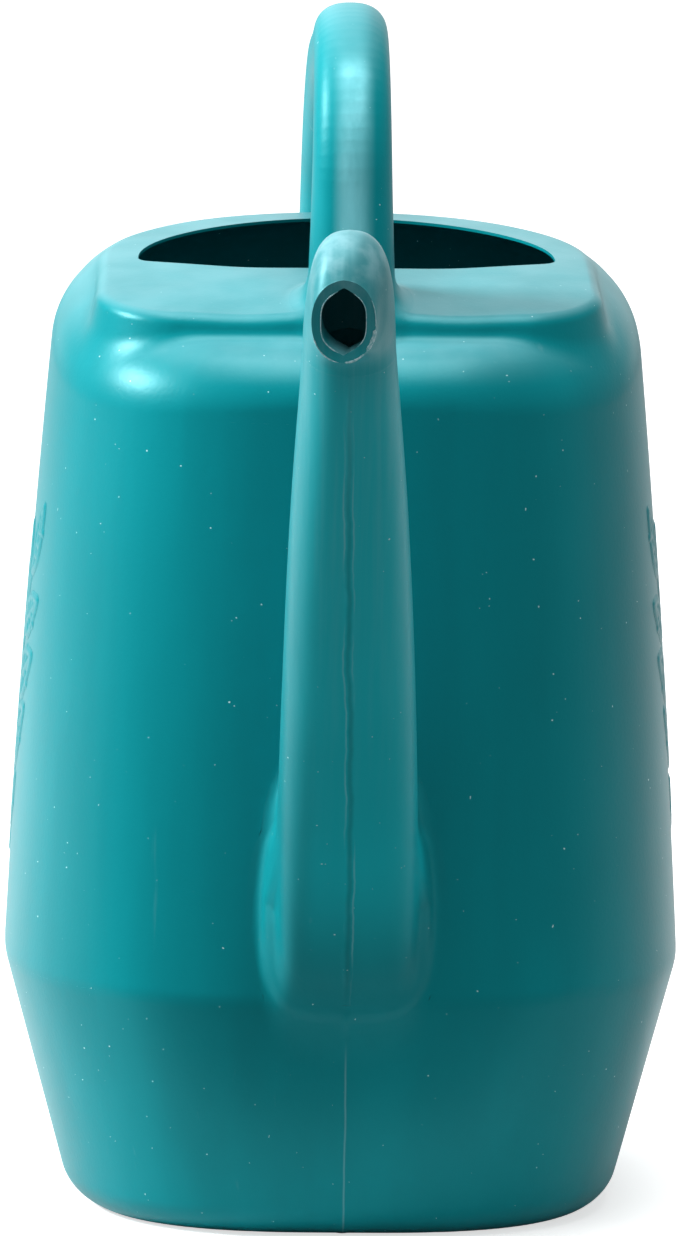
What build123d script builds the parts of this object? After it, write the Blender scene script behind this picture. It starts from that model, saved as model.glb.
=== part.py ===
from build123d import *
import os
from math import cos, radians, sin

# A one-piece blow-moulded garden watering can, 2 US gallons.
# Origin: middle of the foot, on the standing plane.
# +Z up, the spout points to -Y, the handle's rear leg is on +Y.
# The moulding is written out as its functional regions, which meet face to face.

os.makedirs("parts", exist_ok=True)

# ---------- driving dimensions, mm ----------
wall = 2.2                      # moulded wall, tank and collar
spout_wall = 2.0
handle_wall = 2.2

# tank: half width (X) and half depth (Y) of the outline at four levels
foot_half_width, foot_half_depth = 81.5, 84.0
knee_half_width, knee_half_depth = 102.0, 104.0
belly_half_width, belly_half_depth = 95.9, 99.6
top_half_width, top_half_depth = 84.6, 91.5
knee_height = 75.0              # widest level, where the foot's taper starts
belly_height = 175.0
top_height = 305.0              # where the wall outline would end without its deck
outline_bow = 9.0               # how far each side bulges between its corners
foot_corner, knee_corner, top_corner = 40.0, 52.0, 46.0
foot_edge_radius = 9.0
knee_radius = 30.0
shoulder_radius = 18.0

# standing ring and recessed underside
recess_depth = 2.5
ring_width = 9.0
pinch_rib_width = 1.6

# deck, sloping down to the front
deck_height = 277.0
deck_tilt = 4.8
shoulder_seam = 248.0           # level where the wall ends and the shoulder begins

# filler collar on the deck
collar_half_width, collar_half_depth = 76.0, 75.2
collar_centre_y = 4.0
collar_corner = 38.0
rim_height = 287.0              # middle of the rim above the standing plane
rim_tilt = 1.4
rim_crown_radius = 900.0        # the rim falls away towards both sides
cover_tilt = 10.9               # spill cover in front of the filler
cover_front_y, cover_front_height = -71.0, 277.4
collar_edge_radius = 4.0

# filler mouth
mouth_corner_x, mouth_corner_y = 63.0, -3.0
mouth_front_y, mouth_rear_y = -24.0, 63.0

# spout: a straight tapering oval tube and a nose that turns forward
spout_elevation = 61.0
spout_wall_y, spout_wall_z = -103.0, 111.0      # where its axis meets the front wall
spout_stations = (                              # along the axis, half width, half depth, squareness
    (-40.0, 21.0, 17.4, 3.2),
    (0.0, 21.0, 17.4, 3.2),
    (70.0, 19.9, 16.8, 2.8),
    (140.0, 17.2, 15.2, 2.4),
    (199.0, 13.6, 13.0, 2.1),
)
oval_points = 16
saddle_stations = (                             # y, z, half width, half height on the wall
    (-99.0, 110.0, 26.0, 36.5),
    (-112.0, 118.0, 20.5, 30.0),
)
nose_stations = (                               # y, z, heading, half width, half depth
    (-207.5, 298.5, 38.0, 12.8, 15.0),
    (-214.5, 303.5, 12.0, 11.4, 16.5),
    (-224.0, 296.5, -10.0, 9.3, 12.6),
)

# handle: a hollow loop in the YZ plane
grip_width, grip_thickness, grip_corner = 23.0, 21.0, 8.0
front_root_width, front_root_thickness = 26.5, 26.0
front_root_y, front_root_z = -57.5, 266.0
front_leg_top_y, front_leg_top_z = -55.5, 312.0
handle_bends = ((-52.5, 359.0), (105.0, 330.0), (137.0, 250.0), (128.0, 150.0))
handle_radii = (40.0, 90.0, 110.0, 50.0)
handle_end = (80.0, 120.0)
grip_rear_seam = 300.0          # level where the grip ends and the rear leg begins


def tank_outline(height, half_width, half_depth, corner, inset):
    """The tank's outline at one level: four bowed sides with rounded corners."""
    x = half_width - inset
    y = half_depth - inset
    cx = x - outline_bow
    cy = y - outline_bow
    with BuildSketch(Plane.XY.offset(height)) as outline:
        with BuildLine():
            ThreePointArc((-cx, -cy), (0, -y), (cx, -cy))
            ThreePointArc((cx, -cy), (x, 0), (cx, cy))
            ThreePointArc((cx, cy), (0, y), (-cx, cy))
            ThreePointArc((-cx, cy), (-x, 0), (-cx, -cy))
        make_face()
        fillet(outline.vertices(), corner - inset)
    return outline.sketch


def tank_block(inset, floor):
    """The tank as a solid block, from its floor to its sloping deck."""
    with BuildPart() as block:
        foot = tank_outline(floor, foot_half_width, foot_half_depth, foot_corner, inset)
        knee = tank_outline(knee_height, knee_half_width, knee_half_depth, knee_corner, inset)
        belly = tank_outline(belly_height, belly_half_width, belly_half_depth, knee_corner, inset)
        top = tank_outline(top_height, top_half_width, top_half_depth, top_corner, inset)
        loft([foot, knee], ruled=True)
        loft([knee, belly, top])
        knee_edges = block.edges().filter_by_position(Axis.Z, knee_height - 1, knee_height + 1)
        fillet(knee_edges, knee_radius)
        split(bisect_by=deck_plane.offset(-inset), keep=Keep.BOTTOM)
        fillet(block.faces().sort_by(Axis.Z)[-1].edges(), shoulder_radius - inset)
        fillet(block.faces().sort_by(Axis.Z)[0].edges(), foot_edge_radius - inset)
    return block.part


def oval(plane, half_width, half_depth, squareness=2.0):
    """An oval section: an ellipse at squareness 2, nearer to a rounded box above it."""
    points = []
    for i in range(oval_points):
        turn = radians(360 * i / oval_points)
        reach = (
            abs(cos(turn) / half_width) ** squareness + abs(sin(turn) / half_depth) ** squareness
        ) ** (-1 / squareness)
        points.append((reach * cos(turn), reach * sin(turn)))
    with BuildSketch(plane) as section:
        with BuildLine():
            Spline(points, periodic=True)
        make_face()
    return section.sketch


def spout_plane(station):
    """The plane square to the spout's axis, at a distance along it from the front wall."""
    y = spout_wall_y - station * cos(radians(spout_elevation))
    z = spout_wall_z + station * sin(radians(spout_elevation))
    return heading_plane(y, z, spout_elevation)


def heading_plane(y, z, heading):
    """A plane at (0, y, z) square to a forward heading, given in degrees above level."""
    forward = (0, -cos(radians(heading)), sin(radians(heading)))
    return Plane(origin=(0, y, z), x_dir=(1, 0, 0), z_dir=forward)


def spout_tube(inset):
    """The straight tube of the spout as a solid, running on into the tank."""
    with BuildPart() as tube:
        loft([oval(spout_plane(s), w - inset, d - inset, n) for s, w, d, n in spout_stations])
    return tube.part


def spout_saddle():
    """The fairing that widens the foot of the spout where it meets the front wall."""
    with BuildPart() as saddle:
        sections = []
        for y, z, half_width, half_height in saddle_stations:
            sections.append(oval(heading_plane(y, z, 0), half_width, half_height))
        loft(sections)
    return saddle.part


def nose_block(inset):
    """The nose as a solid, from the end of the tube to the cut mouth."""
    station, half_width, half_depth, squareness = spout_stations[-1]
    with BuildPart() as nose:
        sections = [oval(spout_plane(station), half_width - inset, half_depth - inset, squareness)]
        for y, z, heading, w, d in nose_stations:
            sections.append(oval(heading_plane(y, z, heading), w - inset, d - inset))
        loft(sections)
    return nose.part


def collar_block(inset):
    """The filler collar as a solid, rising out of the tank to its crowned rim."""
    with BuildPart() as collar:
        with BuildSketch(Plane.XY.offset(shoulder_seam)) as footprint:
            with Locations((0, collar_centre_y)):
                add(tank_outline(0, collar_half_width, collar_half_depth, collar_corner, inset))
        extrude(amount=rim_height - shoulder_seam + collar_half_depth)
        with Locations(rim_plane.offset(-rim_crown_radius)):
            Cylinder(
                rim_crown_radius - inset,
                4 * collar_half_depth,
                rotation=(90, 0, 0),
                mode=Mode.INTERSECT,
            )
        split(bisect_by=cover_plane.offset(-inset), keep=Keep.BOTTOM)
    return collar.part


def handle_section(plane, width, thickness, inset):
    """A rounded rectangle, the section of the hollow handle."""
    with BuildSketch(plane) as section:
        RectangleRounded(width - 2 * inset, thickness - 2 * inset, grip_corner - inset)
    return section.sketch


def front_leg_block(inset):
    """The front leg as a solid, narrowing upward from its root on the collar."""
    with BuildPart() as leg:
        loft([
            handle_section(leg_root_plane, front_root_width, front_root_thickness, inset),
            handle_section(leg_top_plane, grip_width, grip_thickness, inset),
        ])
    return leg.part


def loop_block(inset):
    """The rest of the handle as a solid: grip, rear bend and rear leg."""
    with BuildPart() as loop:
        with BuildLine():
            FilletPolyline(
                (0, front_leg_top_y, front_leg_top_z),
                *[(0, y, z) for y, z in handle_bends],
                (0, handle_end[0], handle_end[1]),
                radius=handle_radii,
            )
        add(handle_section(leg_top_plane, grip_width, grip_thickness, inset))
        sweep()
    return loop.part


deck_plane = Plane.XY.offset(deck_height).rotated((deck_tilt, 0, 0))
rim_plane = Plane.XY.offset(rim_height).rotated((rim_tilt, 0, 0))
cover_plane = Plane(origin=(0, cover_front_y, cover_front_height)).rotated((cover_tilt, 0, 0))
leg_direction = (0, front_leg_top_y - front_root_y, front_leg_top_z - front_root_z)
leg_root_plane = Plane(origin=(0, front_root_y, front_root_z), x_dir=(1, 0, 0), z_dir=leg_direction)
leg_top_plane = Plane(
    origin=(0, front_leg_top_y, front_leg_top_z), x_dir=(1, 0, 0), z_dir=leg_direction
)

tank_outer = tank_block(0, 0)
tank_inner = tank_block(wall, wall + recess_depth)
with BuildPart() as collar_form:
    add(collar_block(0))
    rim_faces = collar_form.faces().filter_by(lambda face: face.normal_at().Z > 0.9)
    fillet(rim_faces.edges(), collar_edge_radius)
collar_outer = collar_form.part
collar_inner = collar_block(wall)
spout_outer = spout_tube(0)
spout_bore = spout_tube(spout_wall)
nose_outer = nose_block(0)
nose_bore = nose_block(spout_wall)
front_leg_outer = front_leg_block(0)
front_leg_bore = front_leg_block(handle_wall)
loop_outer = loop_block(0)
loop_bore = loop_block(handle_wall)
knee_plane = Plane.XY.offset(knee_height)
shoulder_plane = Plane.XY.offset(shoulder_seam)
grip_rear_plane = Plane.XY.offset(grip_rear_seam)

# ---------- foot: floor, standing ring and the taper up to the knee ----------
with BuildPart() as tank_base:
    add(tank_outer)
    split(bisect_by=knee_plane, keep=Keep.BOTTOM)
    add(tank_inner, mode=Mode.SUBTRACT)
    with BuildSketch(Plane.XY):
        add(tank_outline(0, foot_half_width, foot_half_depth, foot_corner, foot_edge_radius + ring_width))
    extrude(amount=recess_depth, mode=Mode.SUBTRACT)
    with BuildSketch(Plane.XY.offset(recess_depth)):
        Rectangle(pinch_rib_width, 2 * (foot_half_depth - foot_edge_radius - ring_width) - 2)
    extrude(amount=-recess_depth / 2)
tank_base.part.label = "tank_base"

# ---------- wall: knee to shoulder, open to the spout and to the rear leg ----------
with BuildPart() as tank_wall:
    add(tank_outer)
    split(bisect_by=knee_plane, keep=Keep.TOP)
    split(bisect_by=shoulder_plane, keep=Keep.BOTTOM)
    add(tank_inner, mode=Mode.SUBTRACT)
    add(spout_bore, mode=Mode.SUBTRACT)
    add(loop_bore, mode=Mode.SUBTRACT)
tank_wall.part.label = "tank_wall"

# ---------- shoulder: the rounded top edge and the strip of deck round the collar ----------
with BuildPart() as tank_shoulder:
    add(tank_outer)
    split(bisect_by=shoulder_plane, keep=Keep.TOP)
    add(tank_inner, mode=Mode.SUBTRACT)
    add(collar_inner, mode=Mode.SUBTRACT)
tank_shoulder.part.label = "tank_shoulder"

# ---------- filler collar: rim, spill cover and the D-shaped mouth ----------
with BuildPart() as filler_collar:
    add(collar_outer)
    add(tank_outer, mode=Mode.SUBTRACT)
    add(collar_inner, mode=Mode.SUBTRACT)
    add(front_leg_bore, mode=Mode.SUBTRACT)
    with BuildSketch(shoulder_plane):
        with BuildLine():
            ThreePointArc(
                (-mouth_corner_x, mouth_corner_y), (0, mouth_front_y), (mouth_corner_x, mouth_corner_y)
            )
            ThreePointArc(
                (mouth_corner_x, mouth_corner_y), (0, mouth_rear_y), (-mouth_corner_x, mouth_corner_y)
            )
        make_face()
    extrude(amount=2 * (rim_height - shoulder_seam), mode=Mode.SUBTRACT)
filler_collar.part.label = "filler_collar"

# ---------- spout: the straight tube, from the front wall to the neck ----------
with BuildPart() as spout:
    add(spout_outer)
    add(spout_saddle())
    add(tank_outer, mode=Mode.SUBTRACT)
    add(spout_bore, mode=Mode.SUBTRACT)
spout.part.label = "spout"

# ---------- nose: the forward bend with its cut mouth ----------
with BuildPart() as spout_nose:
    add(nose_outer)
    add(nose_bore, mode=Mode.SUBTRACT)
spout_nose.part.label = "spout_nose"

# ---------- handle: front leg, grip, rear leg ----------
with BuildPart() as handle_front_leg:
    add(front_leg_outer)
    add(collar_outer, mode=Mode.SUBTRACT)
    add(front_leg_bore, mode=Mode.SUBTRACT)
handle_front_leg.part.label = "handle_front_leg"

with BuildPart() as handle_grip:
    add(loop_outer)
    add(loop_bore, mode=Mode.SUBTRACT)
    split(bisect_by=grip_rear_plane, keep=Keep.TOP)
handle_grip.part.label = "handle_grip"

with BuildPart() as handle_rear_leg:
    add(loop_outer)
    split(bisect_by=grip_rear_plane, keep=Keep.BOTTOM)
    add(tank_outer, mode=Mode.SUBTRACT)
    add(loop_bore, mode=Mode.SUBTRACT)
handle_rear_leg.part.label = "handle_rear_leg"

export_step(tank_base.part, "parts/tank_base.step")
export_step(tank_wall.part, "parts/tank_wall.step")
export_step(tank_shoulder.part, "parts/tank_shoulder.step")
export_step(filler_collar.part, "parts/filler_collar.step")
export_step(spout.part, "parts/spout.step")
export_step(spout_nose.part, "parts/spout_nose.step")
export_step(handle_front_leg.part, "parts/handle_front_leg.step")
export_step(handle_grip.part, "parts/handle_grip.step")
export_step(handle_rear_leg.part, "parts/handle_rear_leg.step")
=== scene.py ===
import math

import bpy
import numpy as np
from mathutils import Matrix, Vector


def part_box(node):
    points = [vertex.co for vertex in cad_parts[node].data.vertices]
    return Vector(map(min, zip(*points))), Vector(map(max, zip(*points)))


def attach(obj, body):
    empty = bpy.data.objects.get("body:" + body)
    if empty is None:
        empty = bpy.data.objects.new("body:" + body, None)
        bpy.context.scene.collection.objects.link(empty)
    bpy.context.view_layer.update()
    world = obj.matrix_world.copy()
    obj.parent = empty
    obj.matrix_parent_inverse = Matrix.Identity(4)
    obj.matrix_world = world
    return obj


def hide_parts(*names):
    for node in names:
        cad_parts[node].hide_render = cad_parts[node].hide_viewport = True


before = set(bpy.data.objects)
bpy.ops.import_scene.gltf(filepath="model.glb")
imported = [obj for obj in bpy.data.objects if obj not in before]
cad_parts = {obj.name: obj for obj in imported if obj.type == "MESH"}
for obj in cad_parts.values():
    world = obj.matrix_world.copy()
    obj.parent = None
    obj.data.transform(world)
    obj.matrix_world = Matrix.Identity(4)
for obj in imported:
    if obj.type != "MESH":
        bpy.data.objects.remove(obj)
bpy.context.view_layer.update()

# The can is one blow-moulded skin, so every visible piece is cut from one smooth surface:
# the zero level of skin_field(). A piece cut for a node of the frame hides that node's part.
# Lengths are metres, in the frame's own axes.

MM = 0.001
rng = np.random.default_rng(7)

# ---------------------------------------------------------------- places read from the frame
base_lo, base_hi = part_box("tank_base")
wall_lo, wall_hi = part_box("tank_wall")
shoulder_lo, shoulder_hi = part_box("tank_shoulder")
collar_lo, collar_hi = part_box("filler_collar")
spout_lo, spout_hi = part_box("spout")
nose_lo, nose_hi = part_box("spout_nose")
leg_lo, leg_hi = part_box("handle_front_leg")
grip_lo, grip_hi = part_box("handle_grip")
rear_lo, rear_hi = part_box("handle_rear_leg")

KNEE_Z = base_hi[2]
KNEE_W = base_hi[0] + 0.4 * MM
KNEE_D = base_hi[1] + 0.4 * MM
SEAM_Z = wall_hi[2]
WALL = 2.2 * MM

# ---------------------------------------------------------------- smooth joins of distance fields


def soft_min(a, b, k):
    """The nearer of two surfaces, with a concave fillet where they meet."""
    h = np.maximum(k - np.abs(a - b), 0.0) / k
    return np.minimum(a, b) - h * h * k * 0.25


def soft_max(a, b, k):
    """The overlap of two solids, with its shallow edge eased."""
    return -soft_min(-a, -b, k)


def round_max(a, b, r):
    """The overlap of two solids, with a true round of radius r on its edge."""
    u = np.maximum(a + r, 0.0)
    v = np.maximum(b + r, 0.0)
    return np.minimum(np.maximum(a, b), -r) + np.sqrt(u * u + v * v)


def oval_gap(u, v, half_u, half_v, power):
    """Distance, nearly, from a superelliptic outline; power 2 is an ellipse."""
    reach = (np.abs(u / half_u) ** power + np.abs(v / half_v) ** power) ** (1.0 / power)
    reach = np.maximum(reach, 1e-6)
    return (1.0 - 1.0 / reach) * np.hypot(u, v)


def box_gap(u, v, half_u, half_v, corner):
    """Distance from a rounded rectangle."""
    qu = np.abs(u) - half_u + corner
    qv = np.abs(v) - half_v + corner
    return np.hypot(np.maximum(qu, 0), np.maximum(qv, 0)) + np.minimum(np.maximum(qu, qv), 0) - corner


def curve(at, stations, values):
    """A smooth curve through a table of values, flat beyond its ends."""
    slopes = np.gradient(values, stations)
    at = np.clip(at, stations[0], stations[-1])
    i = np.clip(np.searchsorted(stations, at, side="right") - 1, 0, len(stations) - 2)
    width = stations[i + 1] - stations[i]
    t = (at - stations[i]) / width
    return (values[i] * (1 + 2 * t) * (1 - t) ** 2 + values[i + 1] * t * t * (3 - 2 * t)
            + width * (slopes[i] * t * (1 - t) ** 2 + slopes[i + 1] * t * t * (t - 1)))


# ---------------------------------------------------------------- tank
FOOT_W = KNEE_W - 20.3 * MM
FOOT_D = KNEE_D - 19.8 * MM
FOOT_ROUND = 9.5 * MM
SHOULDER_ROUND = 13 * MM
SIDE_ROUND = 8 * MM
CROWN = 900 * MM
DECK_FRONT_Y = -71 * MM
DECK_FRONT_Z = 271.0 * MM
DECK_SLOPE = 0.23
RIM_Z = 287.2 * MM
RIM_SLOPE = 0.0244
KNEE_EASE = 0.8 * MM
# the wall narrows upward at this slope, and faster with height; its depth narrows less than its width
WALL_TAPER, WALL_CURVE, DEPTH_SHARE = 0.0497, 0.1127, 0.70
WALL_POWER, FOOT_POWER = 2.6, 2.75
RING = 6 * MM
RECESS = 2.5 * MM


def rim_level(y):
    """Height of the rim along the centre plane."""
    return RIM_Z + y * RIM_SLOPE


def tank_field(x, y, z):
    up = np.maximum(z - KNEE_Z, -20 * MM)
    narrowing = WALL_TAPER * up + WALL_CURVE * up * up
    upper = oval_gap(x, y, KNEE_W - narrowing, KNEE_D - narrowing * DEPTH_SHARE, WALL_POWER)
    down = z / KNEE_Z
    lower_w = FOOT_W + (KNEE_W - FOOT_W) * down
    lower_d = FOOT_D + (KNEE_D - FOOT_D) * down
    lower = oval_gap(x, y, lower_w, lower_d, FOOT_POWER + (WALL_POWER - FOOT_POWER) * np.clip(down, 0, 1))
    side = soft_max(upper, lower, KNEE_EASE)
    slope = DECK_FRONT_Z + (y - DECK_FRONT_Y) * DECK_SLOPE
    deck = z - soft_min(slope, rim_level(y) - 0.9 * MM, 7 * MM) + x * x / (2 * CROWN)
    body = round_max(side, deck, SHOULDER_ROUND + SIDE_ROUND * np.clip(np.abs(x) / (80 * MM), 0, 1) ** 2)
    body = round_max(body, -z, FOOT_ROUND)
    low = z < 12 * MM
    if low.any():
        ring = oval_gap(x[low], y[low], FOOT_W, FOOT_D, FOOT_POWER) + FOOT_ROUND + RING
        rib = box_gap(x[low], z[low] - RECESS, 1.2 * MM, 1.5 * MM, 0.5 * MM)
        rib = soft_max(rib, np.abs(y[low]) - 72 * MM, 2 * MM)
        hollow = soft_max(soft_max(ring, z[low] - RECESS, 2.5 * MM), -rib, 1.2 * MM)
        body[low] = soft_max(body[low], -hollow, 2 * MM)
    return body


# ---------------------------------------------------------------- filler collar
COLLAR_Y = 0.5 * (collar_lo[1] + collar_hi[1])
COLLAR_W = collar_hi[0]
COLLAR_FRONT = COLLAR_Y + 71.5 * MM
COLLAR_REAR = collar_hi[1] - COLLAR_Y
COVER_TILT = math.radians(10.9)
COVER_Y = -71 * MM
COVER_Z = 277.9 * MM
COLLAR_CORNER = 24 * MM
COLLAR_BOW = 330 * MM


def collar_outline(x, y):
    """Squarish in front with a slight bow, round behind."""
    v = y - COLLAR_Y
    front = box_gap(x, v - x * x / (2 * COLLAR_BOW), COLLAR_W, COLLAR_FRONT, COLLAR_CORNER)
    rear = oval_gap(x, v, COLLAR_W, COLLAR_REAR, 2.25)
    return np.where(v < 0, front, rear)


def collar_field(x, y, z):
    crown = x * x / (2 * CROWN)
    side = collar_outline(x, y) + (z - COVER_Z) * 0.25
    rim = z - rim_level(y) + crown
    dip = 0.9 * MM * np.exp(-(((np.abs(x) - 32 * MM) / (15 * MM)) ** 2))
    cover = (z - COVER_Z + dip) * math.cos(COVER_TILT) - (y - COVER_Y) * math.sin(COVER_TILT) + crown
    return round_max(side, soft_max(rim, cover, 6 * MM), 2.8 * MM)


# the filler mouth: the overlap of two round outlines, a shallow one in front and a deep one behind
MOUTH_FRONT_Y, MOUTH_FRONT_R = 90 * MM, 114 * MM
MOUTH_REAR_Y, MOUTH_REAR_R = -1 * MM, 63 * MM
LIP_WALL = 0.9 * MM


def mouth_gap(x, y):
    front = np.hypot(x, y - MOUTH_FRONT_Y) - MOUTH_FRONT_R
    rear = np.hypot(x, y - MOUTH_REAR_Y) - MOUTH_REAR_R
    return round_max(front, rear, 3 * MM)


# ---------------------------------------------------------------- spout
SPOUT_RISE = math.radians(61)
SPOUT_DIR = np.array([0.0, -math.cos(SPOUT_RISE), math.sin(SPOUT_RISE)])
SPOUT_UP = np.array([0.0, math.sin(SPOUT_RISE), math.cos(SPOUT_RISE)])
SPOUT_FOOT = np.array([0.0, -103 * MM, 111 * MM])
NECK = 199 * MM
# along the axis, half width, half depth, squareness
SPOUT_SIZES = np.array([
    [-60, 21.2, 17.0, 5.0],
    [-25, 21.2, 20.6, 5.0],
    [0, 21.1, 19.4, 4.2],
    [70, 19.8, 16.8, 2.8],
    [140, 17.2, 15.2, 2.45],
    [199, 13.6, 13.0, 2.1],
]) * np.array([MM, MM, MM, 1.0])


# the can in the picture leans its spout a little to -X
SPOUT_LEAN = np.array([[-60, 0], [0, -0.3], [70, -1.0], [140, -2.1], [199, -3.1]]) * MM
NOSE_LEAN = np.array([
    [29, -3.1], [46, -3.2], [63, -3.1], [80, -3.6], [92, -4.7], [100, -5.4],
]) * np.array([1, MM])


def spout_size(along):
    """Half width, half depth and squareness at a distance along the spout."""
    return [curve(along, SPOUT_SIZES[:, 0], SPOUT_SIZES[:, i]) for i in (1, 2, 3)]


def spout_coordinates(y, z):
    dy = y - SPOUT_FOOT[1]
    dz = z - SPOUT_FOOT[2]
    along = dy * SPOUT_DIR[1] + dz * SPOUT_DIR[2]
    across = dy * SPOUT_UP[1] + dz * SPOUT_UP[2]
    return along, across


# the nose: its sections fan round a hinge line in front of the neck
HINGE_Y = -220 * MM
HINGE_Z = 273.7 * MM
MOUTH_FAN = 100.0
# degrees round the hinge, distance out, half width, half depth, squareness
NOSE_SIZES = np.array([
    [29, 23.4, 13.6, 13.0, 2.1],
    [46, 26.6, 13.3, 15.6, 2.3],
    [63, 29.4, 12.6, 17.9, 2.5],
    [80, 29.9, 11.2, 18.5, 2.5],
    [92, 26.6, 9.9, 15.6, 2.3],
    [100, 23.3, 9.3, 12.4, 2.1],
]) * np.array([1.0, MM, MM, MM, 1.0])
BORE_W, BORE_D, BORE_POWER = 6.6 * MM, 10.1 * MM, 3.4


def nose_coordinates(y, z):
    """Degrees round the hinge line, and distance from it."""
    dy = y - HINGE_Y
    dz = z - HINGE_Z
    return np.degrees(np.arctan2(dz, dy)) % 360, np.hypot(dy, dz)


def nose_size(fan):
    return [curve(fan, NOSE_SIZES[:, 0], NOSE_SIZES[:, i]) for i in (1, 2, 3, 4)]


def nose_lean(fan):
    return curve(fan, NOSE_LEAN[:, 0], NOSE_LEAN[:, 1])


def parting_ridge(x, run):
    """The thin raised line that the two halves of the mould leave, uneven along its run."""
    waver = 0.25 * MM * np.sin(run * 95) + 0.15 * MM * np.sin(run * 233 + 1)
    height = 0.30 + 0.10 * np.sin(run * 310) + 0.07 * np.sin(run * 720 + 2)
    return height * MM * np.exp(-(((x - waver) / (0.9 * MM)) ** 2))


def spout_field(x, y, z, fine=True):
    along, across = spout_coordinates(y, z)
    half_w, half_d, power = spout_size(along)
    fan, out = nose_coordinates(y, z)
    middle, nose_w, nose_d, nose_power = nose_size(fan)
    x = x - np.where(along > NECK, nose_lean(fan), curve(along, SPOUT_LEAN[:, 0], SPOUT_LEAN[:, 1]))
    tube = oval_gap(x, across, half_w, half_d, power)
    nose = oval_gap(x, out - middle, nose_w, nose_d, nose_power)
    whole = np.where(along > NECK, nose, tube)
    if fine:
        whole = whole - np.where(along > NECK, 0.4, 1.0) * parting_ridge(x, along)
    return whole


# the fairing at the foot of the spout fills in behind it and flares towards the wall
FAIRING_Z = 103 * MM
FAIRING_H = 30 * MM
FAIRING_W = 26.4 * MM
FAIRING_WALL_Y = -100 * MM
FLARE = 0.33


def fairing_field(x, y, z):
    along, across = spout_coordinates(y, z)
    v = z - FAIRING_Z
    stand = np.maximum(FAIRING_WALL_Y - y, -6 * MM)
    narrow = 6.0 * MM * (np.abs(v + 3 * MM) / (33 * MM)) ** 2.2
    side = (np.abs(x) - FAIRING_W + narrow + FLARE * stand) * 0.95
    side = round_max(side, np.abs(v) - FAIRING_H, 12 * MM)
    proud = 6.5 * MM - 0.13 * np.clip(100 * MM - z, 0, 40 * MM)
    front = np.minimum(-across - 6 * MM, FAIRING_WALL_Y - proud - y)
    return soft_max(side, front, 3 * MM)


# ---------------------------------------------------------------- handle
# corners of the handle's line in the YZ plane, and the bend at each
HANDLE_CORNERS = np.array([
    [-58.5, 258.0], [-52.5, 361.8], [105.0, 331.0], [137.0, 250.0], [128.0, 150.0], [76.0, 117.5],
]) * MM
HANDLE_BENDS = np.array([40.0, 90.0, 110.0, 50.0]) * MM


def bent_line(corners, bends, step):
    """Points along straight runs joined by tangent arcs."""
    points = [corners[0]]
    for i, radius in enumerate(bends):
        before = corners[i] - corners[i + 1]
        after = corners[i + 2] - corners[i + 1]
        before = before / np.linalg.norm(before)
        after = after / np.linalg.norm(after)
        half = 0.5 * math.acos(float(np.clip(before @ after, -1, 1)))
        tangent = radius / math.tan(half)
        middle = before + after
        centre = corners[i + 1] + middle / np.linalg.norm(middle) * radius / math.sin(half)
        start = corners[i + 1] + before * tangent - centre
        end = corners[i + 1] + after * tangent - centre
        turn = math.atan2(start[0] * end[1] - start[1] * end[0], start @ end)
        for t in np.linspace(0, turn, max(4, int(abs(turn) * radius / step))):
            c, s = math.cos(t), math.sin(t)
            points.append(centre + np.array([c * start[0] - s * start[1], s * start[0] + c * start[1]]))
    points.append(corners[-1])
    return np.array(points)


HANDLE_LINE = bent_line(HANDLE_CORNERS, HANDLE_BENDS, 3 * MM)
HANDLE_SHIFT = 0.35 * MM
HANDLE_RUN = np.concatenate([[0], np.cumsum(np.linalg.norm(np.diff(HANDLE_LINE, axis=0), axis=1))])
# share of the handle's length, half width, half thickness, squareness
HANDLE_SIZES = np.array([
    [0.00, 13.8, 15.5, 2.9],
    [0.05, 13.1, 13.8, 2.8],
    [0.10, 12.3, 12.0, 2.7],
    [0.20, 11.4, 10.8, 2.5],
    [0.32, 11.0, 10.5, 2.5],
    [0.55, 12.0, 10.5, 2.6],
    [0.75, 13.0, 10.6, 3.0],
    [0.90, 13.3, 11.0, 3.2],
    [1.00, 13.8, 12.5, 3.2],
])


def handle_coordinates(y, z):
    """Share of the run, and signed distance outward, of the nearest point of the handle's line."""
    p = np.stack([y, z], axis=-1)
    best = np.full(y.shape, np.inf)
    share = np.zeros(y.shape)
    outward = np.zeros(y.shape)
    for a, b, run in zip(HANDLE_LINE[:-1], HANDLE_LINE[1:], HANDLE_RUN[:-1]):
        d = b - a
        length = np.linalg.norm(d)
        d = d / length
        w = p - a
        t = np.clip(w @ d, 0, length)
        off = w - t[..., None] * d
        gap = np.hypot(off[..., 0], off[..., 1])
        near = gap < best
        best = np.where(near, gap, best)
        share = np.where(near, (run + t) / HANDLE_RUN[-1], share)
        side = -(d[1] * w[..., 0] - d[0] * w[..., 1])
        outward = np.where(near, np.where(side < 0, -gap, gap), outward)
    return share, outward


def handle_field(x, y, z):
    share, outward = handle_coordinates(y, z)
    half_w = curve(share, HANDLE_SIZES[:, 0], HANDLE_SIZES[:, 1]) * MM
    half_t = curve(share, HANDLE_SIZES[:, 0], HANDLE_SIZES[:, 2]) * MM
    power = curve(share, HANDLE_SIZES[:, 0], HANDLE_SIZES[:, 3])
    return oval_gap(x - HANDLE_SHIFT * (1 - share), outward, half_w, half_t, power)


# ---------------------------------------------------------------- the whole skin
def near(y, z, lo, hi):
    """Where a point lies near a node's box in the YZ plane, so that far fields aren't worked out."""
    return (y > lo[1] - REACH) & (y < hi[1] + REACH) & (z > lo[2] - REACH) & (z < hi[2] + REACH)


def within(field, mask, x, y, z):
    """A field where the mask holds, and far away elsewhere."""
    out = np.full(x.shape, 0.05)
    if mask.any():
        out[mask] = field(x[mask], y[mask], z[mask])
    return out


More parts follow.
